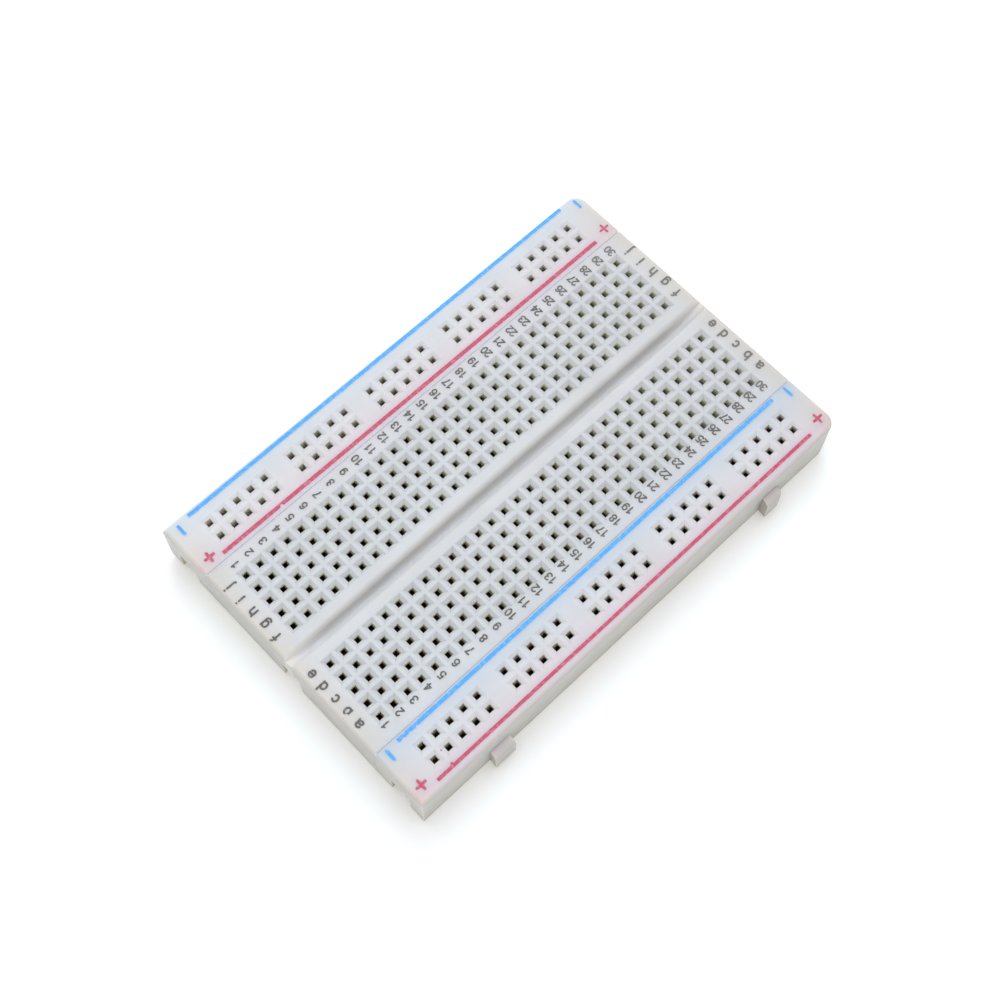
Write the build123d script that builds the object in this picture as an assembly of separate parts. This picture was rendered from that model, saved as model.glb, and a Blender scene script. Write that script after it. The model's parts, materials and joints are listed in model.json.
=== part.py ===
from build123d import *

import os
from math import cos, radians, sin

# Half-size solderless breadboard in millimetres: one terminal strip between two bus strips.
# +X runs along the row numbers, +Y from column a to column j, +Z is up.
# The origin is the centre of the tie-point grid, on the face that the board rests on.

# Tie-point grid
PITCH = 2.54
ROWS = 30
COLUMNS_PER_SIDE = 5
FIRST_COLUMN_Y = 1.5 * PITCH
BUS_GROUPS = 5
BUS_GROUP_SPACING = 6 * PITCH
BUS_INNER_ROW_Y = 8.25 * PITCH
BUS_OUTER_ROW_Y = 9.25 * PITCH

# Moulded strips
HALF_LENGTH = 41.2
HALF_WIDTH = 27.15
JOINT_Y = 17.65
JOINT_GAP = 0.02
HOUSING_HEIGHT = 8.5
CORNER_RADIUS = 2.0
OUTER_EDGE_RADIUS = 0.7
JOINT_EDGE_RADIUS = 0.06

# Foam tape and its paper liner under each strip
LINER_THICKNESS = 0.1
FOAM_THICKNESS = 1.0
PAD_INSET = 0.5
PAD_NOTCH_WIDTH = 4.6
PAD_NOTCH_DEPTH = 1.9

# Heights that follow
BASE_Z = LINER_THICKNESS + FOAM_THICKNESS
TOP_Z = BASE_Z + HOUSING_HEIGHT

# Square lead holes, each at the bottom of a square funnel, which is shallower on the bus strips
FUNNEL_WIDTH = 2.05
FUNNEL_DEPTH = 0.4
BUS_FUNNEL_DEPTH = 0.2
HOLE_WIDTH = 0.95
PLATE_THICKNESS = 1.0

# Under the top plate: a slot as wide as the holes, then a wider clip pocket that is open below
POCKET_WIDTH = 1.9
POCKET_END = 1.07
SLOT_TOP_Z = TOP_Z - PLATE_THICKNESS
POCKET_TOP_Z = TOP_Z - 2.2

# Trough between columns e and f: a round bottom, drafted walls and rounded lips
TROUGH_BOTTOM_RADIUS = 0.5
TROUGH_WALL_WIDTH = 1.4
TROUGH_MOUTH_WIDTH = 3.06
TROUGH_LIP_RADIUS = 0.9
TROUGH_LIP_ANGLE = 80.0
TROUGH_DEPTH = 3.0

# The ramp at each end of the trough: distances from the middle, and the depth there
RAMP = ((33.0, TROUGH_DEPTH), (34.4, 2.85), (35.8, 2.4), (HALF_LENGTH + 0.1, 0.2))

# Dovetail tabs and the sockets that drop over them
TAB_HEIGHT = 4.3
TAB_LENGTH = 1.4
TAB_ROOT_WIDTH = 3.5
TAB_TIP_WIDTH = 3.8
TAB_TOP_RADIUS = 1.3
TAB_CORNER_RADIUS = 1.2
SOCKET_CLEARANCE = 0.1
SOCKET_DEPTH = 1.55
SIDE_TAB_X = (-27.0, 27.7)
BUS_END_TAB_Y = 22.55

# Contact clips, bent from sheet
SHEET = 0.2
CLIP_HALF_WIDTH = 0.75
CLIP_HEIGHT = 6.0
FINGER_WIDTH = 1.9
FINGER_STRAIGHT_Z = 1.7
PINCH_Z = 4.8
PINCH_HALF_WIDTH = 0.26
LIP_HALF_WIDTH = 0.68
SPINE_END = 0.96

# How far a cutting tool runs past the face that it opens
OVERCUT = 0.1

ROW_X = [(row - (ROWS - 1) / 2) * PITCH for row in range(ROWS)]
COLUMN_Y = [FIRST_COLUMN_Y + column * PITCH for column in range(COLUMNS_PER_SIDE)]
BUS_X = [
    (group - BUS_GROUPS // 2) * BUS_GROUP_SPACING + step * PITCH
    for group in range(BUS_GROUPS)
    for step in range(-2, 3)
]


def tie_point_cutter(funnel_depth):
    """A funnel with a square hole below it, centred on x = y = 0."""
    slope = (FUNNEL_WIDTH - HOLE_WIDTH) / 2 / funnel_depth
    inset = slope * (funnel_depth + OVERCUT)
    mouth = HOLE_WIDTH + 2 * inset
    funnel = Wedge(
        mouth,
        funnel_depth + OVERCUT,
        mouth,
        inset,
        inset,
        inset + HOLE_WIDTH,
        inset + HOLE_WIDTH,
        align=None,
    )
    funnel = Pos(-mouth / 2, -mouth / 2, TOP_Z + OVERCUT) * Rot(-90, 0, 0) * funnel
    hole_height = TOP_Z - funnel_depth - SLOT_TOP_Z + OVERCUT
    hole = Pos(0, 0, TOP_Z - funnel_depth - hole_height / 2) * Box(HOLE_WIDTH, HOLE_WIDTH, hole_height)
    return funnel + hole


def pocket_cutter(length):
    """A clip pocket along Y, from below the housing, with the slot above it."""
    pocket_height = POCKET_TOP_Z - BASE_Z + OVERCUT
    slot_height = SLOT_TOP_Z - POCKET_TOP_Z + OVERCUT
    pocket = Pos(0, 0, POCKET_TOP_Z - pocket_height / 2) * Box(POCKET_WIDTH, length, pocket_height)
    slot = Pos(0, 0, SLOT_TOP_Z - slot_height / 2) * Box(HOLE_WIDTH, length, slot_height)
    return pocket + slot


def contact_cutter(stations, funnel_depth):
    """The tie-points at the given places along Y, over one slot and pocket."""
    tie_point = tie_point_cutter(funnel_depth)
    length = stations[-1] - stations[0] + 2 * POCKET_END
    pocket = Pos(0, (stations[0] + stations[-1]) / 2, 0) * pocket_cutter(length)
    return pocket + [Pos(0, y, 0) * tie_point for y in stations]


def trough_section(x, depth):
    """The trough's outline across the board at one place: a shallower one keeps its mouth's width."""
    shrink = depth / TROUGH_DEPTH

    def lip_point(side, angle):
        turn = radians(angle)
        y = TROUGH_WALL_WIDTH / 2 + TROUGH_LIP_RADIUS * (1 - cos(turn))
        z = TROUGH_LIP_RADIUS * (sin(turn) - 1)
        return side * y, TOP_Z + z * shrink

    bottom_z = TOP_Z - depth
    wall_foot_z = bottom_z + TROUGH_BOTTOM_RADIUS * shrink
    mouth_y = TROUGH_MOUTH_WIDTH / 2
    high_z = TOP_Z + OVERCUT
    edges = []
    for side in (-1, 1):
        lip_foot = lip_point(side, 0)
        lip_top = lip_point(side, TROUGH_LIP_ANGLE)
        edges += [
            Line((side * mouth_y, high_z), (side * mouth_y, TOP_Z)),
            Line((side * mouth_y, TOP_Z), lip_top),
            ThreePointArc(lip_top, lip_point(side, TROUGH_LIP_ANGLE / 2), lip_foot),
            Line(lip_foot, (side * TROUGH_BOTTOM_RADIUS, wall_foot_z)),
        ]
    edges.append(
        ThreePointArc(
            (-TROUGH_BOTTOM_RADIUS, wall_foot_z),
            (0, bottom_z),
            (TROUGH_BOTTOM_RADIUS, wall_foot_z),
        )
    )
    edges.append(Line((-mouth_y, high_z), (mouth_y, high_z)))
    return make_face([Pos(x, 0, 0) * (Plane.YZ * edge) for edge in edges])


def trough_cutter():
    """The trough, with a ramp up towards each end of the board."""
    low_end = [trough_section(-x, depth) for x, depth in reversed(RAMP)]
    high_end = [trough_section(x, depth) for x, depth in RAMP]
    return loft(low_end + high_end, ruled=True)


def dovetail(root_width, tip_width, length, height):
    """A dovetail that starts at x = 0, grows along +X and stands on BASE_Z."""
    outline = Polyline(
        (0, -root_width / 2),
        (length, -tip_width / 2),
        (length, tip_width / 2),
        (0, root_width / 2),
        close=True,
    )
    return extrude(Pos(0, 0, BASE_Z) * make_face(outline), height)


def tab(rounded_corner=False):
    """A tab whose top curves down to its tip, rooted a little inside the wall behind it.

    Its tip can also have the corner at the +Y end rounded.
    """
    flare = (TAB_TIP_WIDTH - TAB_ROOT_WIDTH) / TAB_LENGTH
    body = Pos(-OVERCUT, 0, 0) * dovetail(
        TAB_ROOT_WIDTH - flare * OVERCUT,
        TAB_TIP_WIDTH,
        TAB_LENGTH + OVERCUT,
        TAB_HEIGHT,
    )
    if rounded_corner:
        tip = (TAB_LENGTH, TAB_TIP_WIDTH / 2, BASE_Z + TAB_HEIGHT / 2)
        corner = body.edges().filter_by(Axis.Z).sort_by_distance(tip)[0]
        body = fillet(corner, TAB_CORNER_RADIUS)
    top = body.faces().sort_by(Axis.Z)[-1]
    rounded = [edge for edge in top.edges() if edge.center().X > TAB_LENGTH / 2]
    return fillet(rounded, TAB_TOP_RADIUS)


def socket_cutter():
    """The space for a tab: it runs from x = 0 along +X into a wall, and is open below."""
    flare = (TAB_TIP_WIDTH - TAB_ROOT_WIDTH) / TAB_LENGTH
    mouth = TAB_ROOT_WIDTH + 2 * SOCKET_CLEARANCE
    body = dovetail(
        mouth - flare * OVERCUT,
        mouth + flare * SOCKET_DEPTH,
        SOCKET_DEPTH + OVERCUT,
        TAB_HEIGHT + SOCKET_CLEARANCE + OVERCUT,
    )
    return Pos(-OVERCUT, 0, -OVERCUT) * body


def interlocks(y_low, y_high, end_tab_y):
    """Tabs on the -Y side and the +X end, sockets on the +Y side and the -X end."""
    tabs = [Pos(x, y_low, 0) * Rot(0, 0, -90) * tab(rounded_corner=x > 0) for x in SIDE_TAB_X]
    tabs.append(Pos(HALF_LENGTH, end_tab_y, 0) * tab())
    sockets = [Pos(x, y_high, 0) * Rot(0, 0, -90) * socket_cutter() for x in SIDE_TAB_X]
    sockets.append(Pos(-HALF_LENGTH, end_tab_y, 0) * socket_cutter())
    return tabs, sockets


def edges_along(face, lines_y):
    """The edges of a face that lie along one of the given lines of constant Y."""
    return [edge for edge in face.edges() if any(abs(edge.center().Y - y) < JOINT_GAP for y in lines_y)]


def rounded_block(y_low, y_high, corner_y, joint_lines_y):
    """A strip's outer block: its outer top edges are rounder than those along its joint lines."""
    middle = (0, (y_low + y_high) / 2, (BASE_Z + TOP_Z) / 2)
    block = Pos(*middle) * Box(2 * HALF_LENGTH, y_high - y_low, HOUSING_HEIGHT)
    if corner_y is not None:
        upright = block.edges().filter_by(Axis.Z)
        block = fillet(upright.sort_by_distance((HALF_LENGTH, corner_y, middle[2]))[0], CORNER_RADIUS)
    top = block.faces().sort_by(Axis.Z)[-1]
    joint_edges = edges_along(top, joint_lines_y)
    block = fillet([edge for edge in top.edges() if edge not in joint_edges], OUTER_EDGE_RADIUS)
    top = block.faces().sort_by(Axis.Z)[-1]
    return fillet(edges_along(top, joint_lines_y), JOINT_EDGE_RADIUS)


def terminal_housing(y_low, y_high, end_tab_y, corner_y):
    """The middle strip: trough, thirty rows of ten tie-points and their pockets."""
    block = rounded_block(y_low, y_high, corner_y, (y_low, y_high))
    tabs, sockets = interlocks(y_low, y_high, end_tab_y)
    far_side = contact_cutter(COLUMN_Y, FUNNEL_DEPTH)
    near_side = Rot(0, 0, 180) * far_side
    rows = [Pos(x, 0, 0) * cutter for x in ROW_X for cutter in (near_side, far_side)]
    return block + tabs - (sockets + rows + [trough_cutter()])


def bus_housing(y_low, y_high, end_tab_y, corner_y):
    """A bus strip: two rows of tie-points over two long pockets."""
    joint_line_y = min(y_low, y_high, key=abs)
    block = rounded_block(y_low, y_high, corner_y, (joint_line_y,))
    tabs, sockets = interlocks(y_low, y_high, end_tab_y)
    side = 1 if corner_y > 0 else -1
    cutter = Rot(0, 0, -90) * contact_cutter(BUS_X, BUS_FUNNEL_DEPTH)
    rows = [Pos(0, side * y, 0) * cutter for y in (BUS_INNER_ROW_Y, BUS_OUTER_ROW_Y)]
    return block + tabs - (sockets + rows)


def pad(strip, bottom_z, thickness):
    """A layer of the backing: the strip's outline, inset, and notched below its sockets."""
    y_low, y_high, end_tab_y, corner_y = strip
    x_size = 2 * HALF_LENGTH - 2 * PAD_INSET
    y_size = y_high - y_low - 2 * PAD_INSET
    outline = Pos(0, (y_low + y_high) / 2) * Rectangle(x_size, y_size)
    if corner_y is not None:
        corner = outline.vertices().sort_by_distance((HALF_LENGTH, corner_y, 0))[0]
        outline = fillet(corner, CORNER_RADIUS - PAD_INSET)
    side_notch = Rectangle(PAD_NOTCH_WIDTH, 2 * PAD_NOTCH_DEPTH)
    end_notch = Rectangle(2 * PAD_NOTCH_DEPTH, PAD_NOTCH_WIDTH)
    outline -= [Pos(x, y_high) * side_notch for x in SIDE_TAB_X]
    outline -= Pos(-HALF_LENGTH, end_tab_y) * end_notch
    return extrude(Pos(0, 0, bottom_z) * outline, thickness)


def finger():
    """One finger of a contact: up from the spine, in to the pinch, out to the lip."""
    levels = [
        (0, CLIP_HALF_WIDTH),
        (FINGER_STRAIGHT_Z, CLIP_HALF_WIDTH),
        (PINCH_Z, PINCH_HALF_WIDTH),
        (CLIP_HEIGHT, LIP_HALF_WIDTH),
    ]
    outside = [(x, z) for z, x in levels]
    inside = [(x - SHEET, z) for z, x in reversed(levels)]
    profile = make_face(Plane.XZ * Polyline(outside + inside, close=True))
    return extrude(profile, FINGER_WIDTH / 2, both=True)


def clip(stations):
    """A contact clip along Y: a flat spine with a pair of fingers at each station."""
    low_end = stations[0] - SPINE_END
    high_end = stations[-1] + SPINE_END
    spine = Pos(0, (low_end + high_end) / 2, SHEET / 2) * Box(
        2 * CLIP_HALF_WIDTH, high_end - low_end, SHEET
    )
    right_finger = finger()
    left_finger = mirror(right_finger, Plane.YZ)
    fingers = [Pos(0, y, 0) * one for y in stations for one in (right_finger, left_finger)]
    return Pos(0, 0, BASE_Z) * (spine + fingers)


def build_nodes():
    """Every piece of the board by node name."""
    # Each strip: its Y limits, its end tab's Y, and the Y of its rounded corner at the +X end.
    half_gap = JOINT_GAP / 2
    strips = {
        "terminal_strip": (-JOINT_Y + half_gap, JOINT_Y - half_gap, 0, None),
        "a_side_bus": (-HALF_WIDTH, -JOINT_Y - half_gap, -BUS_END_TAB_Y, -HALF_WIDTH),
        "j_side_bus": (JOINT_Y + half_gap, HALF_WIDTH, BUS_END_TAB_Y, HALF_WIDTH),
    }
    nodes = {}
    for name, strip in strips.items():
        housing = terminal_housing if name == "terminal_strip" else bus_housing
        nodes[name + "_housing"] = housing(*strip)
        nodes[name + "_foam_tape"] = pad(strip, LINER_THICKNESS, FOAM_THICKNESS)
        nodes[name + "_release_liner"] = pad(strip, 0, LINER_THICKNESS)

    f_to_j_clip = clip(COLUMN_Y)
    a_to_e_clip = Rot(0, 0, 180) * f_to_j_clip
    for row, x in enumerate(ROW_X, start=1):
        pair = [Pos(x, 0, 0) * a_to_e_clip, Pos(x, 0, 0) * f_to_j_clip]
        nodes[f"row_{row:02d}_clips"] = Compound(children=pair)

    bus_clip = Rot(0, 0, -90) * clip(BUS_X)
    bus_rows = {
        "a_side_minus_clip": -BUS_INNER_ROW_Y,
        "a_side_plus_clip": -BUS_OUTER_ROW_Y,
        "j_side_plus_clip": BUS_INNER_ROW_Y,
        "j_side_minus_clip": BUS_OUTER_ROW_Y,
    }
    for name, y in bus_rows.items():
        nodes[name] = Pos(0, y, 0) * bus_clip
    return nodes


os.makedirs("parts", exist_ok=True)
for node_name, shape in build_nodes().items():
    export_step(shape, f"parts/{node_name}.step")
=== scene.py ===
import json
import math
from collections import namedtuple

import bmesh
import bpy
import numpy as np
from mathutils import Matrix, Vector, noise


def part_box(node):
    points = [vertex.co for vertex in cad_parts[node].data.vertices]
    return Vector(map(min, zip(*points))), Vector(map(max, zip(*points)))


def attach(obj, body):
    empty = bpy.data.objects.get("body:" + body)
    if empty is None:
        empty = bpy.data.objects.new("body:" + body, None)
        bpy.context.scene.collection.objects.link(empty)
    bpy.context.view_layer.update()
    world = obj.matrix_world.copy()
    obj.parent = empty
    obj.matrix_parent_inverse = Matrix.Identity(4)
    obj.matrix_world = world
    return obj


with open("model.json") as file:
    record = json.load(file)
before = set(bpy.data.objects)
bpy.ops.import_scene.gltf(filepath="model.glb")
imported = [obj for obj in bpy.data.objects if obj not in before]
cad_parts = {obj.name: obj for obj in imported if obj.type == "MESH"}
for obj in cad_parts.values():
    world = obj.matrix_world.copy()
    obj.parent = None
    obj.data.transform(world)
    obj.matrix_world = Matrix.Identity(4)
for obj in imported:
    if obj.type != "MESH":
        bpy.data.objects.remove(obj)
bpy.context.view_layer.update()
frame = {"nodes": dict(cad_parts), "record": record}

# ------------------------------------------------------------------ sizes, in metres
MM = 0.001
ROWS = 30
TOP_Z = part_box("terminal_strip_housing")[1].z
TERMINAL, A_BUS, J_BUS = "terminal_strip", "a_side_bus_strip", "j_side_bus_strip"

# Printing: how far the ink stands proud, how deep its body is sunk, the grids it is drawn on,
# and how far and how finely its edges wander
INK_PROUD = 0.012 * MM
INK_SUNK = 0.05 * MM
TEXT_CELL = 0.022 * MM
LINE_CELL = 0.05 * MM
LINE_ROUGHNESS = 0.05 * MM
TEXT_ROUGHNESS = 0.03 * MM
EDGE_GRAIN = 0.16 * MM
GRAIN_SEED_STEP = 7.3

# Heights and stroke widths of the printed characters, and how far a sign's bars reach
NUMBER_HEIGHT = 1.3 * MM
NUMBER_STROKE = 0.23 * MM
LETTER_HEIGHT = 1.64 * MM
LETTER_STROKE = 0.3 * MM
LETTER_STRETCH = 1.12
SIGN_REACH = 0.72 * MM
DIGIT_WIDTH = 0.64

# Tints of the plastic, as factors for red, green and blue; most of them are painted light and painted shade
# Painted shade on the walls: darker and yellower than the top, more so towards the foot and along the lower
# edge
WALL_SHADE_TINT = (0.79, 0.80, 0.78)
WALL_FOOT_SHADE_TINT = (0.88, 0.88, 0.84)
WALL_EDGE_SHADE_TINT = (0.72, 0.71, 0.68)
# Painted shade: the board darkens a little towards row 30
ROW_30_SHADE_TINT = (0.955, 0.945, 0.94)
END_TINT = (1.0, 0.95, 0.87)
# Painted shade over the terminal strip's field of tie-points
FIELD_SHADE_TINT = (0.93, 0.945, 0.96)
TROUGH_TINT = (1.3, 1.32, 1.3)
JOINT_TINT = (1.7, 1.7, 1.7)
HOLE_TINT = (1.36, 1.4, 1.18)

# Where tints keep to, in millimetres. ACROSS is the distance from the trough's centre line, ALONG
# the distance from the board's middle, and HEIGHT is Z. A band is its low edge, its high edge and
# how soft both are; a fade is where it starts and where it ends.
TERMINAL_HOLES_ACROSS = (2.9, 15.2, 0.3)
BUS_HOLES_ACROSS = (19.7, 24.8, 0.3)
HOLES_END_ALONG = (38.0, 38.6)
HOLE_WALL_HEIGHT = (7.4, 9.3, 0.15)
BUS_STARTS_ACROSS = (16.0, 18.0)
FIELD_SHADE_ACROSS = (2.45, 15.35, 0.3)
FIELD_SHADE_END_ALONG = (37.5, 38.1)
YELLOWER_END_ALONG = (37.5, 41.2)
TROUGH_SIDE_ACROSS = (1.6, 2.0)
END_WALL_ALONG = (40.6, 41.0)
TROUGH_FLOOR_ACROSS = (0.4, 0.75)
TROUGH_FLOOR_HEIGHT = (8.2, 7.2)
RAMP_ACROSS = (0.6, 1.1)
RAMP_ALONG = (33.5, 36.5)
RAMP_HEIGHT = (9.5, 9.1)
RAMP_LIT_SIDE = (-0.7, 0.1)
JOINT_ACROSS = (17.45, 17.85, 0.05)
JOINT_HEIGHT = (9.3, 9.56, 0.02)
WALL_FOOT_SHADE_HEIGHT = (8.5, 2.0)
WALL_EDGE_SHADE_HEIGHT = (1.5, 1.9)
HAZE_STARTS_ACROSS = (17.3, 17.9)

# Ink haze: a printed line's Y and how far its haze reaches, in millimetres, and the haze's tint
BLUE_HAZE_J_SIDE = (0.92, 1.03, 1.12)
BLUE_HAZE_A_SIDE = (0.82, 0.955, 1.08)
RED_HAZE = (1.0, 0.85, 0.9)
INK_HAZE = (
    (26.42, 1.8, BLUE_HAZE_J_SIDE),
    (18.64, 1.4, RED_HAZE),
    (-18.18, 2.4, BLUE_HAZE_A_SIDE),
    (-25.82, 1.4, RED_HAZE),
)

# Worn spots without ink, and stray spots of ink: x, y and radius in millimetres
WORN_ROW_1_LETTERS = ((-40.3, -11.0, 0.42), (-40.62, 8.75, 0.2))
WORN_J_SIDE_NUMBERS = ((-19.5, 15.95, 0.26), (-19.0, 15.9, 0.26))
RED_LINE_NICKS = ((-26.4, 18.33, 0.28),)
BLUE_LINE_NICKS = (
    (-36.7, -18.56, 0.22),
    (-36.2, -17.98, 0.16),
    (-35.5, -18.5, 0.15),
    (-34.2, -18.56, 0.2),
)
RED_LINE_SPOTS = ((-34.3, -25.55, 0.24), (-34.1, -23.2, 0.12))


# ------------------------------------------------------------------ glyph strokes
# Each glyph is its advance and a list of strokes, in a box whose cap height is 1. A stroke is a
# list of points.
def arc(x, y, rx, ry, start, end):
    """Points along part of an ellipse, with its angles in degrees."""
    steps = max(3, round(abs(end - start) / 15))
    angles = [math.radians(start + (end - start) * k / steps) for k in range(steps + 1)]
    return [(x + rx * math.cos(a), y + ry * math.sin(a)) for a in angles]


def half_turn(strokes):
    """The same strokes turned by 180 degrees in the digits' box."""
    return [[(DIGIT_WIDTH - x, 1.0 - y) for x, y in stroke] for stroke in strokes]


SIX = [
    arc(0.32, 0.335, 0.235, 0.27, 0, 360),
    arc(0.345, 0.5, 0.265, 0.43, 48, 180),
]
GLYPHS = {
    "0": (DIGIT_WIDTH, [arc(0.32, 0.5, 0.235, 0.43, 0, 360)]),
    "1": (DIGIT_WIDTH, [[(0.15, 0.74), (0.3, 0.82), (0.375, 0.95), (0.375, 0.05)]]),
    "2": (DIGIT_WIDTH, [arc(0.32, 0.69, 0.235, 0.24, 165, -38) + [(0.09, 0.07), (0.57, 0.07)]]),
    "3": (DIGIT_WIDTH, [arc(0.3, 0.715, 0.21, 0.215, 160, -80), arc(0.3, 0.29, 0.25, 0.22, 88, -158)]),
    "4": (DIGIT_WIDTH, [[(0.44, 0.05), (0.44, 0.92), (0.06, 0.3), (0.6, 0.3)]]),
    "5": (DIGIT_WIDTH, [[(0.54, 0.93), (0.18, 0.93), (0.11, 0.5)] + arc(0.3, 0.335, 0.25, 0.265, 132, -152)]),
    "6": (DIGIT_WIDTH, SIX),
    "7": (DIGIT_WIDTH, [[(0.08, 0.92), (0.56, 0.92), (0.38, 0.62), (0.27, 0.33), (0.23, 0.05)]]),
    "8": (DIGIT_WIDTH, [arc(0.32, 0.715, 0.195, 0.21, 0, 360), arc(0.32, 0.285, 0.235, 0.22, 0, 360)]),
    "9": (DIGIT_WIDTH, half_turn(SIX)),
    "a": (0.62, [
        arc(0.29, 0.5, 0.2, 0.19, 160, 0) + [(0.49, 0.14), (0.54, 0.05)],
        [(0.48, 0.42), (0.26, 0.37)] + arc(0.23, 0.215, 0.15, 0.155, 100, 340) + [(0.48, 0.26)],
    ]),
    "b": (0.62, [[(0.1, 0.97), (0.1, 0.05)], arc(0.31, 0.365, 0.21, 0.31, 180, -180)]),
    "c": (0.56, [arc(0.29, 0.365, 0.2, 0.31, 42, 318)]),
    "d": (0.62, [[(0.52, 0.97), (0.52, 0.05)], arc(0.31, 0.365, 0.21, 0.31, 0, 360)]),
    "e": (0.62, [[(0.09, 0.38), (0.52, 0.38)] + arc(0.305, 0.365, 0.215, 0.31, 4, 322)]),
    "f": (0.36, [
        [(0.16, 0.05), (0.16, 0.8)] + arc(0.29, 0.81, 0.13, 0.15, 180, 90),
        [(0.03, 0.65), (0.32, 0.65)],
    ]),
    "g": (0.62, [
        arc(0.3, 0.365, 0.21, 0.3, 0, 360),
        [(0.51, 0.67), (0.51, 0.0)] + arc(0.3, -0.02, 0.21, 0.2, 0, -155),
    ]),
    "h": (0.6, [[(0.11, 0.97), (0.11, 0.05)], arc(0.3, 0.47, 0.19, 0.2, 170, 0) + [(0.49, 0.05)]]),
    "i": (0.26, [[(0.13, 0.67), (0.13, 0.05)], [(0.13, 0.93), (0.13, 0.95)]]),
    "j": (0.28, [
        [(0.16, 0.67), (0.16, -0.1)] + arc(0.05, -0.1, 0.11, 0.14, 0, -80),
        [(0.16, 0.93), (0.16, 0.95)],
    ]),
}


def text_strokes(text, centre_x, centre_y, height, stretch=1.0):
    """Strokes of a text on the top face: it reads along +Y, and its letters' tops point to -X.

    centre_x is the middle of the cap height, centre_y the middle of the text's width.
    """
    width = sum(GLYPHS[letter][0] for letter in text) * height * stretch
    cursor = centre_y - width / 2
    base_x = centre_x + height / 2
    strokes = []
    for letter in text:
        advance, glyph = GLYPHS[letter]
        for stroke in glyph:
            strokes.append([(base_x - v * height, cursor + u * height * stretch) for u, v in stroke])
        cursor += advance * height * stretch
    return strokes


# ------------------------------------------------------------------ ink as thin solids
def distance_to_strokes(x, y, strokes):
    """Distance from each grid point to the nearest stroke."""
    nearest = np.full(x.shape, np.inf)
    for stroke in strokes:
        for (ax, ay), (bx, by) in zip(stroke, stroke[1:]):
            along_x, along_y = bx - ax, by - ay
            length_squared = max(along_x**2 + along_y**2, 1e-18)
            t = ((x - ax) * along_x + (y - ay) * along_y) / length_squared
            t = np.clip(t, 0, 1)
            nearest = np.minimum(nearest, np.hypot(x - ax - t * along_x, y - ay - t * along_y))
    return nearest


def grain(x, y, size, seed):
    """Smooth noise from -1 to 1 over the grid, with features of about that size."""
    flat = [noise.noise(Vector((u / size, v / size, seed))) for u, v in zip(x.ravel(), y.ravel())]
    return np.array(flat).reshape(x.shape)


def filled_cells(field, x, y):
    """Marching squares: polygons that cover the grid wherever field is below zero."""
    points, faces, index = [], [], {}

    def corner(i, j):
        key = (i, j)
        if key not in index:
            index[key] = len(points)
            points.append((x[i, j], y[i, j]))
        return index[key]

    def crossing(i, j, k, l):
        key = (i, j, k, l) if (i, j) < (k, l) else (k, l, i, j)
        if key not in index:
            t = field[i, j] / (field[i, j] - field[k, l])
            index[key] = len(points)
            points.append((x[i, j] + t * (x[k, l] - x[i, j]), y[i, j] + t * (y[k, l] - y[i, j])))
        return index[key]

    inside = field < 0
    busy = inside[:-1, :-1] | inside[1:, :-1] | inside[:-1, 1:] | inside[1:, 1:]
    for i, j in zip(*np.nonzero(busy)):
        ring = [(i, j), (i + 1, j), (i + 1, j + 1), (i, j + 1)]
        face = []
        for here, there in zip(ring, ring[1:] + ring[:1]):
            if inside[here]:
                face.append(corner(*here))
            if inside[here] != inside[there]:
                face.append(crossing(*here, *there))
        if len(face) > 2:
            faces.append(face)
    return points, faces


# A mark of ink: strokes of one width, gaps without ink, spots of ink, and the X where it ends.
# Gaps and spots are (x, y, radius); everything is in metres.
Mark = namedtuple("Mark", "strokes width roughness gaps spots ends", defaults=((), (), None))


def mark_polygons(mark, cell, seed):
    """Points and faces that cover one mark, found on a grid of square cells."""
    ends = [point for stroke in mark.strokes for point in stroke]
    ends = np.array(ends + [spot[:2] for spot in mark.spots])
    low = ends.min(0) - mark.width
    high = ends.max(0) + mark.width
    x, y = np.meshgrid(
        np.arange(low[0], high[0], cell),
        np.arange(low[1], high[1], cell),
        indexing="ij",
    )
    field = distance_to_strokes(x, y, mark.strokes) - mark.width / 2
    for spot_x, spot_y, radius in mark.spots:
        field = np.minimum(field, np.hypot(x - spot_x, y - spot_y) - radius)
    near = np.abs(field) < 2 * mark.roughness + cell
    rough = np.zeros(x.shape)
    rough[near] = grain(x[near], y[near], EDGE_GRAIN, seed)
    field = field + mark.roughness * rough
    if mark.ends is not None:
        field = np.maximum(field, np.maximum(mark.ends[0] - x, x - mark.ends[1]))
    for gap_x, gap_y, radius in mark.gaps:
        field = np.maximum(field, radius - np.hypot(x - gap_x, y - gap_y))
    return filled_cells(field, x, y)


def printed(name, body, material, marks, cell):
    """One piece of ink made of several marks, as a thin solid sunk into the top face."""
    bm = bmesh.new()
    for number, mark in enumerate(marks):
        points, faces = mark_polygons(mark, cell, GRAIN_SEED_STEP * number)
        verts = [bm.verts.new((u, v, TOP_Z - INK_SUNK)) for u, v in points]
        for face in faces:
            bm.faces.new([verts[k] for k in face])
    bmesh.ops.dissolve_limit(bm, angle_limit=0.01, verts=bm.verts, edges=bm.edges)
    raised = bmesh.ops.extrude_face_region(bm, geom=bm.faces[:])
    top = [item for item in raised["geom"] if isinstance(item, bmesh.types.BMVert)]
    bmesh.ops.translate(bm, verts=top, vec=(0, 0, INK_SUNK + INK_PROUD))
    bmesh.ops.recalc_face_normals(bm, faces=bm.faces[:])
    mesh = bpy.data.meshes.new(name)
    bm.to_mesh(mesh)
    bm.free()
    mesh.materials.append(material)
    piece = bpy.data.objects.new(name, mesh)
    bpy.context.scene.collection.objects.link(piece)
    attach(piece, body)


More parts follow.
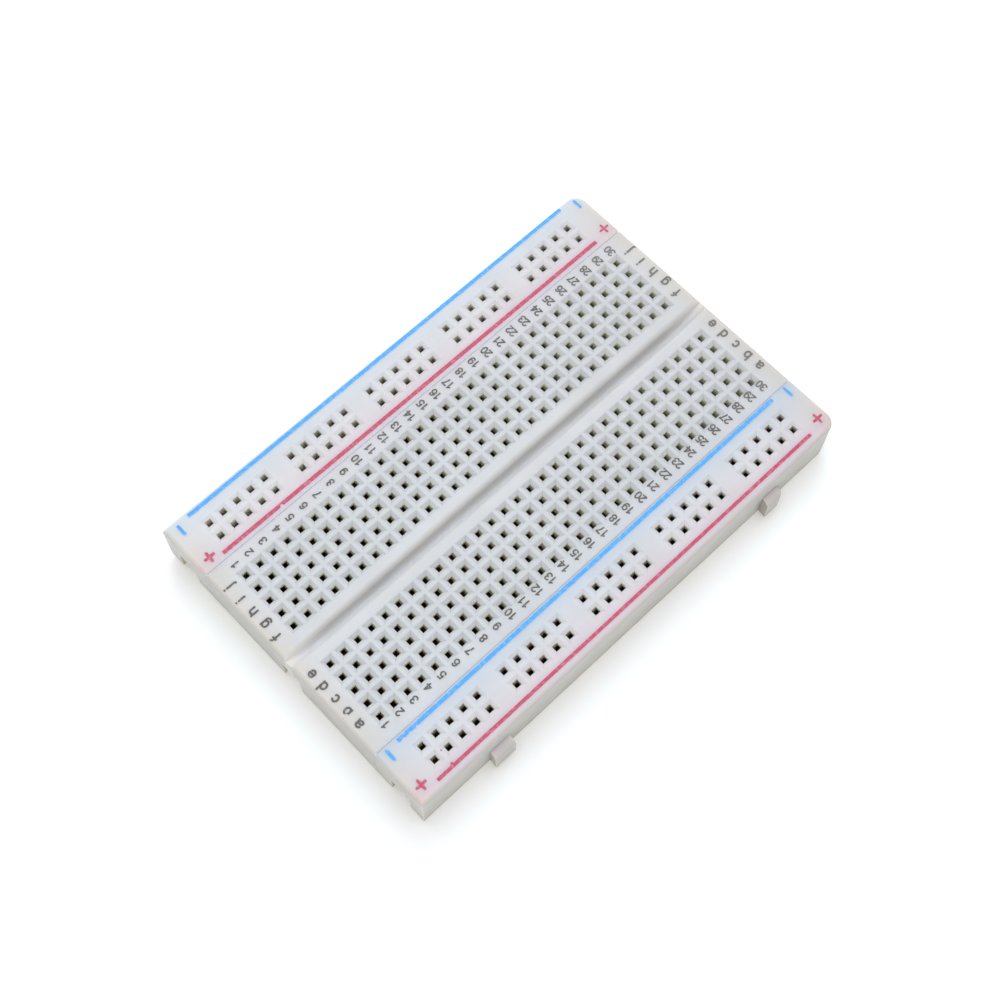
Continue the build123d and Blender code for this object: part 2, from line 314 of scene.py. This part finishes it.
# ------------------------------------------------------------------ materials
class Shader:
    """A small helper that adds and links shader nodes."""

    def __init__(self, name):
        self.material = bpy.data.materials.new(name)
        self.material.use_nodes = True
        self.nodes = self.material.node_tree.nodes
        self.links = self.material.node_tree.links
        self.surface = self.nodes["Principled BSDF"]

    def add(self, kind, settings=None, **inputs):
        """A node of that kind; each input is a value or another node's output socket."""
        node = self.nodes.new(kind)
        for key, value in (settings or {}).items():
            setattr(node, key, value)
        for key, value in inputs.items():
            self.plug(node, key.replace("_", " "), value)
        return node

    def give(self, socket, value):
        """Sets an input socket to a value, or links another node's output to it."""
        if isinstance(value, bpy.types.NodeSocket):
            self.links.new(value, socket)
        else:
            socket.default_value = value

    def plug(self, node, name, value):
        """Gives a value to one input, found by its name without regard to case."""
        for socket in node.inputs:
            if socket.name.lower() == name.lower() and socket.enabled:
                self.give(socket, value)
                return
        raise KeyError(f"{node.bl_idname} has no input named {name}")

    def maths(self, operation, first, second=0.0):
        """One arithmetic step; each operand is a value or another node's output socket."""
        node = self.add("ShaderNodeMath", {"operation": operation})
        self.give(node.inputs[0], first)
        self.give(node.inputs[1], second)
        return node.outputs[0]

    def times(self, first, *others):
        """The product of two or more values."""
        for other in others:
            first = self.maths("MULTIPLY", first, other)
        return first

    def place(self):
        """The place on the object in its own frame, as three sockets X, Y and Z."""
        where = self.add("ShaderNodeTexCoord").outputs["Object"]
        return self.add("ShaderNodeSeparateXYZ", Vector=where).outputs

    def mix(self, share, first, second, blend="MIX"):
        """A colour between two colours, or the first one blended with the second."""
        node = self.add("ShaderNodeMix", {"data_type": "RGBA", "blend_type": blend})
        self.give(node.inputs[0], share)
        self.give(node.inputs[6], first)
        self.give(node.inputs[7], second)
        return node.outputs[2]

    def tint(self, colour, share, factor):
        """A colour multiplied by a factor for red, green and blue, by that share."""
        return self.mix(share, colour, (*factor, 1), "MULTIPLY")

    def noise(self, size, detail=2.0, roughness=0.5, stretch=(1, 1, 1), seed=0.0):
        """Noise in object space with features of about that size, from 0 to 1."""
        place = self.add("ShaderNodeTexCoord").outputs["Object"]
        scaled = self.add("ShaderNodeMapping", Vector=place, Scale=stretch, Location=(seed, seed, seed))
        made = self.add(
            "ShaderNodeTexNoise",
            Vector=scaled.outputs["Vector"],
            Scale=1 / size,
            Detail=detail,
            Roughness=roughness,
        )
        return made.outputs["Fac"]

    def remap(self, value, low_in, high_in, low_out, high_out):
        """A value moved from one range to another, and clamped to it."""
        node = self.add(
            "ShaderNodeMapRange",
            Value=value,
            From_Min=low_in,
            From_Max=high_in,
            To_Min=low_out,
            To_Max=high_out,
        )
        return node.outputs["Result"]

    def between(self, value, start, end, low=0, high=1):
        """A share that goes from low to high while a value crosses a stretch in millimetres."""
        return self.remap(value, start * MM, end * MM, low, high)

    def band(self, value, low, high, soft):
        """1 where a value lies between two limits in millimetres, fading to 0 over a soft edge."""
        return self.times(self.between(value, low, low + soft), self.between(value, high - soft, high, 1, 0))

    def bump(self, height, distance, strength, normal=None):
        """A bump from a height value, on top of another normal where one is given."""
        node = self.add("ShaderNodeBump", Height=height, Distance=distance, Strength=strength)
        if normal is not None:
            self.links.new(normal, node.inputs["Normal"])
        return node.outputs["Normal"]

    def finish(self, **inputs):
        """The material, with its surface's inputs set."""
        for key, value in inputs.items():
            self.plug(self.surface, key.replace("_", " "), value)
        return self.material


def rgba(red, green, blue):
    """A linear colour from one written in sRGB, 0 to 255."""
    channels = []
    for value in (red, green, blue):
        v = value / 255
        channels.append(v / 12.92 if v <= 0.04045 else ((v + 0.055) / 1.055) ** 2.4)
    return (*channels, 1.0)


def tie_point_share(s, along, across):
    """1 over the three blocks of tie-points and 0 everywhere else."""
    blocks = s.maths("MAXIMUM", s.band(across, *TERMINAL_HOLES_ACROSS), s.band(across, *BUS_HOLES_ACROSS))
    return s.times(blocks, s.between(along, *HOLES_END_ALONG, 1, 0))


def wall_share(s, along, across, sideways, tie_points):
    """Where the walls' painted shade goes: 1 on the outer walls and the joints' faces, and 0 in the holes and
    the trough.
    """
    inside = s.maths("MAXIMUM", tie_points, s.between(across, *TROUGH_SIDE_ACROSS, 1, 0))
    inside = s.times(inside, s.between(along, *END_WALL_ALONG, 1, 0))
    return s.times(sideways, s.maths("SUBTRACT", 1.0, inside))


def trough_share(s, along, across, y, z):
    """1 on the trough's floor, and up to a half on its ramps, most of it on their +Y side."""
    floor = s.times(s.between(across, *TROUGH_FLOOR_ACROSS, 1, 0), s.between(z, *TROUGH_FLOOR_HEIGHT))
    ramps = s.times(
        s.between(across, *RAMP_ACROSS, 1, 0),
        s.between(z, *RAMP_HEIGHT),
        s.between(along, *RAMP_ALONG, 0, 0.5),
        s.between(y, *RAMP_LIT_SIDE, 0.2, 1),
    )
    return s.maths("MAXIMUM", floor, ramps)


def hole_share(s, across, z, sideways, tie_points):
    """1 on the walls of the terminal strip's holes, and less on those of the bus strips."""
    walls = s.times(sideways, tie_points, s.band(z, *HOLE_WALL_HEIGHT))
    return s.times(walls, s.between(across, *BUS_STARTS_ACROSS, 1, 0.45))


def ink_haze(s, colour, across, y, facing_up):
    """The colour with the haze of ink beside the printed lines."""
    on_bus = s.times(facing_up, s.between(across, *HAZE_STARTS_ACROSS, 0.25, 1))
    for line_y, reach, factor in INK_HAZE:
        away = s.maths("ABSOLUTE", s.maths("SUBTRACT", y, line_y * MM))
        haze = s.maths("POWER", math.e, s.maths("DIVIDE", away, -reach * MM))
        colour = s.tint(colour, s.times(haze, on_bus), factor)
    return colour


def place_tints(s, colour):
    """The plastic's colour with its changes over the board, from the place and the facing; most of them are
    painted light and painted shade.
    """
    x, y, z = s.place()
    along = s.maths("ABSOLUTE", x)
    across = s.maths("ABSOLUTE", y)
    normal = s.add("ShaderNodeTexCoord").outputs["Normal"]
    facing_up = s.remap(s.add("ShaderNodeSeparateXYZ", Vector=normal).outputs["Z"], 0.3, 0.85, 0, 1)
    sideways = s.maths("SUBTRACT", 1.0, facing_up)
    tie_points = tie_point_share(s, along, across)
    # Painted shade: the whole board is painted a little darker towards row 30, where the light falls off
    colour = s.tint(colour, s.between(x, -38, 38), ROW_30_SHADE_TINT)

    # Painted shade: the walls are painted darker and a little yellower than the top, darker still towards
    # their lower edge, and darkest in a thin band just above the foam
    wall_shade = wall_share(s, along, across, sideways, tie_points)
    colour = s.tint(colour, wall_shade, WALL_SHADE_TINT)
    colour = s.tint(colour, s.times(wall_shade, s.between(z, *WALL_FOOT_SHADE_HEIGHT)), WALL_FOOT_SHADE_TINT)
    colour = s.tint(colour, s.times(wall_shade, s.between(z, *WALL_EDGE_SHADE_HEIGHT, 1, 0)), WALL_EDGE_SHADE_TINT)

    # The tops grow yellower and a little darker towards both ends
    colour = s.tint(colour, s.times(s.between(along, *YELLOWER_END_ALONG), facing_up), END_TINT)
    # Painted shade: the terminal strip's field of tie-points is painted a little darker and bluer than the
    # plain top
    field = s.times(s.between(along, *FIELD_SHADE_END_ALONG, 1, 0), s.band(across, *FIELD_SHADE_ACROSS))
    colour = s.tint(colour, field, FIELD_SHADE_TINT)

    # Light that has gone through the plastic brightens the trough and the walls of the holes
    colour = s.tint(colour, trough_share(s, along, across, y, z), TROUGH_TINT)
    colour = s.tint(colour, hole_share(s, across, z, sideways, tie_points), HOLE_TINT)

    # The rounded edges of the joints between the strips catch more light than their faces
    joint_edge = s.times(s.band(across, *JOINT_ACROSS), s.band(z, *JOINT_HEIGHT))
    colour = s.tint(colour, joint_edge, JOINT_TINT)
    return ink_haze(s, colour, across, y, facing_up)


def moulded_plastic(name, colour, shade):
    """White satin ABS: faint mottling, a fine moulded grain and slow waves in the gloss."""
    s = Shader(name)
    cloud = s.remap(s.noise(9 * MM, detail=3), 0.35, 0.65, 0, 1)
    fine = s.remap(s.noise(0.9 * MM, detail=4, seed=3), 0.4, 0.7, 0, 0.35)
    colour = s.mix(cloud, colour, shade)
    colour = s.mix(fine, colour, shade)
    colour = place_tints(s, colour)
    roughness = s.remap(s.noise(2.5 * MM, detail=3, seed=5), 0.3, 0.7, 0.36, 0.5)
    waves = s.bump(s.noise(6 * MM, detail=1, seed=9), 0.03 * MM, 0.35)
    grained = s.bump(s.noise(0.07 * MM, detail=2, seed=1), 0.004 * MM, 0.35, waves)
    return s.finish(
        Base_Color=colour,
        Roughness=roughness,
        Normal=grained,
        Subsurface_Weight=0.85,
        Subsurface_Radius=(1.0, 1.0, 0.75),
        Subsurface_Scale=1.0 * MM,
        IOR=1.52,
    )


def spring_bronze(name):
    """Phosphor-bronze strip: drawn along its length and unevenly tarnished."""
    s = Shader(name)
    tarnish = s.remap(s.noise(1.4 * MM, detail=4, roughness=0.65), 0.35, 0.7, 0, 1)
    colour = s.mix(tarnish, rgba(196, 160, 96), rgba(128, 98, 52))
    brushed = s.noise(0.25 * MM, detail=2, stretch=(6, 6, 0.5), seed=2)
    roughness = s.remap(tarnish, 0, 1, 0.28, 0.5)
    return s.finish(
        Base_Color=colour,
        Metallic=1.0,
        Roughness=roughness,
        Normal=s.bump(brushed, 0.004 * MM, 0.4),
    )


def foam(name):
    """Closed-cell foam tape: off-white, matt, with small cells along its cut edge."""
    s = Shader(name)
    place = s.add("ShaderNodeTexCoord").outputs["Object"]
    cells = s.add("ShaderNodeTexVoronoi", Vector=place, Scale=1 / (0.22 * MM))
    cell_depth_and_shade = s.remap(cells.outputs["Distance"], 0.1, 0.7, 0, 1)
    # The cells' hollows are painted darker than their rims as painted shade, and the same value gives the
    # bump
    colour = s.mix(cell_depth_and_shade, rgba(206, 204, 196), rgba(232, 231, 226))
    return s.finish(Base_Color=colour, Roughness=0.9, Normal=s.bump(cell_depth_and_shade, 0.06 * MM, 0.8))


def coated_paper(name):
    """Release liner: pale waxy paper with a faint fibre pattern."""
    s = Shader(name)
    fibres = s.noise(0.5 * MM, detail=5, roughness=0.7, stretch=(1, 3, 1))
    colour = s.mix(s.remap(fibres, 0.35, 0.65, 0, 1), rgba(236, 232, 220), rgba(226, 220, 204))
    return s.finish(Base_Color=colour, Roughness=0.42, Normal=s.bump(fibres, 0.01 * MM, 0.3))


def ink(name, colour, thin_colour, fade=0.0):
    """Pad-printed ink: thin in places, and thinner towards row 30 by the given fade."""
    s = Shader(name)
    patches = s.remap(s.noise(0.45 * MM, detail=4, roughness=0.6), 0.5, 0.72, 0, 1)
    thinning = s.between(s.place()["X"], 28, 37, 0, fade)
    patches = s.maths("MAXIMUM", patches, thinning)
    colour = s.mix(patches, colour, thin_colour)
    return s.finish(Base_Color=colour, Roughness=0.45, Normal=s.bump(patches, 0.01 * MM, 0.3))


def dress_frame():
    """Gives every CAD node the material of its slot."""
    made = {
        "terminal_housing": moulded_plastic("warm_white_abs", rgba(221, 218, 218), rgba(216, 213, 212)),
        "bus_housing": moulded_plastic("cool_white_abs", rgba(226, 221, 220), rgba(221, 216, 215)),
        "contact_clip": spring_bronze("spring_bronze"),
        "foam_tape": foam("foam_tape"),
        "release_liner": coated_paper("release_liner"),
    }
    for part in frame["record"]["subparts"]:
        node = frame["nodes"][part["node"]]
        node.data.materials.clear()
        node.data.materials.append(made[part["material_slot"]])


# ------------------------------------------------------------------ printing
def in_metres(circles):
    """Gaps or spots (x, y, radius) from millimetres to metres."""
    return [(x * MM, y * MM, radius * MM) for x, y, radius in circles]


def bus_line(name, body, material, left_end, right_end, width, gaps=(), spots=()):
    """A coloured line along a bus strip, cut square at its ends; all sizes are in millimetres."""
    (x_left, y_left), (x_right, y_right) = left_end, right_end
    past_end = 1
    line = [((x_left - past_end) * MM, y_left * MM), ((x_right + past_end) * MM, y_right * MM)]
    ends = (x_left * MM, x_right * MM)
    mark = Mark([line], width * MM, LINE_ROUGHNESS, in_metres(gaps), in_metres(spots), ends)
    printed(name, body, material, [mark], LINE_CELL)


def signs(name, body, material, places, plus):
    """Plus or minus signs, each (x, y, stroke width) in millimetres; a sign's bar runs along Y."""
    marks = []
    for x, y, width in places:
        bars = [[(x * MM, y * MM - SIGN_REACH), (x * MM, y * MM + SIGN_REACH)]]
        if plus:
            bars.append([(x * MM - SIGN_REACH, y * MM), (x * MM + SIGN_REACH, y * MM)])
        marks.append(Mark(bars, width * MM, LINE_ROUGHNESS))
    printed(name, body, material, marks, TEXT_CELL)


def print_row_numbers(material):
    """Row numbers beside columns j and a: a pitch a little wider than the holes', and a slight bow.

    A side is its name, the numbers' Y at both ends, how far they bow in the middle, their pitch
    and their shift along X, in millimetres, and the worn spots.
    """
    sides = (
        ("row_numbers_j_side", 16.08, 0.33, 2.564, 0.18, WORN_J_SIDE_NUMBERS),
        ("row_numbers_a_side", -15.46, -0.3, 2.568, 0.06, ()),
    )
    middle = (ROWS + 1) / 2
    for name, side_y, bow, pitch, shift, gaps in sides:
        marks = []
        for row in range(1, ROWS + 1):
            along = (row - middle) / (ROWS / 2)
            y = (side_y + bow * (1 - along**2)) * MM
            x = (row - middle) * pitch * MM + shift * MM
            strokes = text_strokes(str(row), x, y, NUMBER_HEIGHT)
            marks.append(Mark(strokes, NUMBER_STROKE, TEXT_ROUGHNESS, in_metres(gaps)))
        printed(name, TERMINAL, material, marks, TEXT_CELL)


def print_column_letters(material):
    """Column letters a to j across both ends of the terminal strip.

    An end is its name, the X of the letters' base line in millimetres and the worn spots; a group
    is its letters, the Y of the first one's middle and their spacing.
    """
    ends = (
        ("column_letters_row_1_end", -39.01, WORN_ROW_1_LETTERS),
        ("column_letters_row_30_end", 40.29, ()),
    )
    groups = (("abcde", -12.95, 2.415), ("fghij", 4.05, 2.51))
    for name, base_x, gaps in ends:
        marks = []
        for letters, first_y, spacing in groups:
            for place, letter in enumerate(letters):
                x = base_x * MM - LETTER_HEIGHT / 2
                y = (first_y + place * spacing) * MM
                strokes = text_strokes(letter, x, y, LETTER_HEIGHT, LETTER_STRETCH)
                marks.append(Mark(strokes, LETTER_STROKE, TEXT_ROUGHNESS, in_metres(gaps)))
        printed(name, TERMINAL, material, marks, TEXT_CELL)


def print_board():
    """Everything that is printed on the three strips."""
    blue = ink("blue_ink", rgba(66, 168, 252), rgba(130, 198, 252))
    red = ink("red_ink", rgba(202, 62, 96), rgba(222, 130, 152))
    grey = ink("grey_ink", rgba(92, 84, 72), rgba(150, 143, 131), fade=0.4)
    bus_line("blue_line_j_side", J_BUS, blue, (-37.1, 26.3), (37.08, 26.61), 0.58)
    bus_line("red_line_j_side", J_BUS, red, (-37.1, 18.58), (37.03, 18.67), 0.6, gaps=RED_LINE_NICKS)
    bus_line("blue_line_a_side", A_BUS, blue, (-37.5, -18.26), (36.79, -18.14), 0.58, gaps=BLUE_LINE_NICKS)
    bus_line("red_line_a_side", A_BUS, red, (-37.22, -25.88), (36.74, -25.79), 0.52, spots=RED_LINE_SPOTS)
    signs("minus_signs_j_side", J_BUS, blue, ((-39.15, 25.26, 0.47), (39.7, 25.5, 0.42)), False)
    signs("plus_signs_j_side", J_BUS, red, ((-38.9, 19.43, 0.43), (39.6, 19.55, 0.34)), True)
    signs("minus_signs_a_side", A_BUS, blue, ((-39.48, -19.08, 0.5), (39.43, -18.86, 0.44)), False)
    signs("plus_signs_a_side", A_BUS, red, ((-39.21, -24.82, 0.42), (39.36, -24.75, 0.4)), True)
    print_row_numbers(grey)
    print_column_letters(grey)


# ------------------------------------------------------------------ floor, light and camera
def add_floor():
    """A pale table top that glows faintly, so that it stays near white like the photo's ground."""
    mesh = bpy.data.meshes.new("floor")
    half = 1.5
    corners = [(-half, -half, 0), (half, -half, 0), (half, half, 0), (-half, half, 0)]
    mesh.from_pydata(corners, [], [(0, 1, 2, 3)])
    floor = bpy.data.objects.new("floor", mesh)
    bpy.context.scene.collection.objects.link(floor)
    glow = Shader("floor_glow")
    mesh.materials.append(
        glow.finish(
            Base_Color=(0.93, 0.93, 0.93, 1),
            Roughness=0.9,
            Emission_Color=(1.0, 0.95, 0.88, 1),
            Emission_Strength=0.2,
        )
    )


def add_softbox(name, place, size, power):
    """A square light of a cool daylight colour that faces the board."""
    data = bpy.data.lights.new(name, "AREA")
    data.shape = "SQUARE"
    data.size = size
    data.energy = power
    data.color = (0.72, 0.845, 0.98)
    lamp = bpy.data.objects.new(name, data)
    lamp.location = place
    lamp.rotation_euler = (-Vector(place)).to_track_quat("-Z", "Y").to_euler()
    bpy.context.scene.collection.objects.link(lamp)


def add_surroundings():
    """Pale, slightly warm light from all round."""
    world = bpy.data.worlds.new("surroundings")
    world.use_nodes = True
    background = world.node_tree.nodes["Background"]
    background.inputs["Color"].default_value = (0.97, 0.95, 0.9, 1)
    background.inputs["Strength"].default_value = 0.6
    bpy.context.scene.world = world
    bpy.context.scene.view_settings.view_transform = "Standard"


def add_camera():
    """The camera stands off the a side at the row-1 end and looks steeply down at the board."""
    place = Vector((-68.05, -67.14, 215.45)) * MM + Vector((0, 0, TOP_Z))
    heading = math.radians(45.03)
    down = math.radians(66.95)
    roll = math.radians(1.45)
    level = math.cos(down)
    forward = Vector((math.cos(heading) * level, math.sin(heading) * level, -math.sin(down)))
    sideways = Vector((math.sin(heading), -math.cos(heading), 0))
    right = Matrix.Rotation(-roll, 3, forward) @ sideways
    up = right.cross(forward)
    data = bpy.data.cameras.new("camera")
    data.sensor_width = 36
    data.lens = 59.11
    data.clip_start = 0.01
    camera = bpy.data.objects.new("camera", data)
    turn = Matrix((right, up, -forward)).transposed()
    camera.matrix_world = Matrix.Translation(place) @ turn.to_4x4()
    bpy.context.scene.collection.objects.link(camera)
    bpy.context.scene.camera = camera


dress_frame()
print_board()
add_floor()
add_softbox("softbox_above", (0.03, 0.05, 0.6), size=0.5, power=1.86)
add_softbox("softbox_back", (0.27, 0.3, 0.46), size=0.35, power=0.84)
add_surroundings()
add_camera()
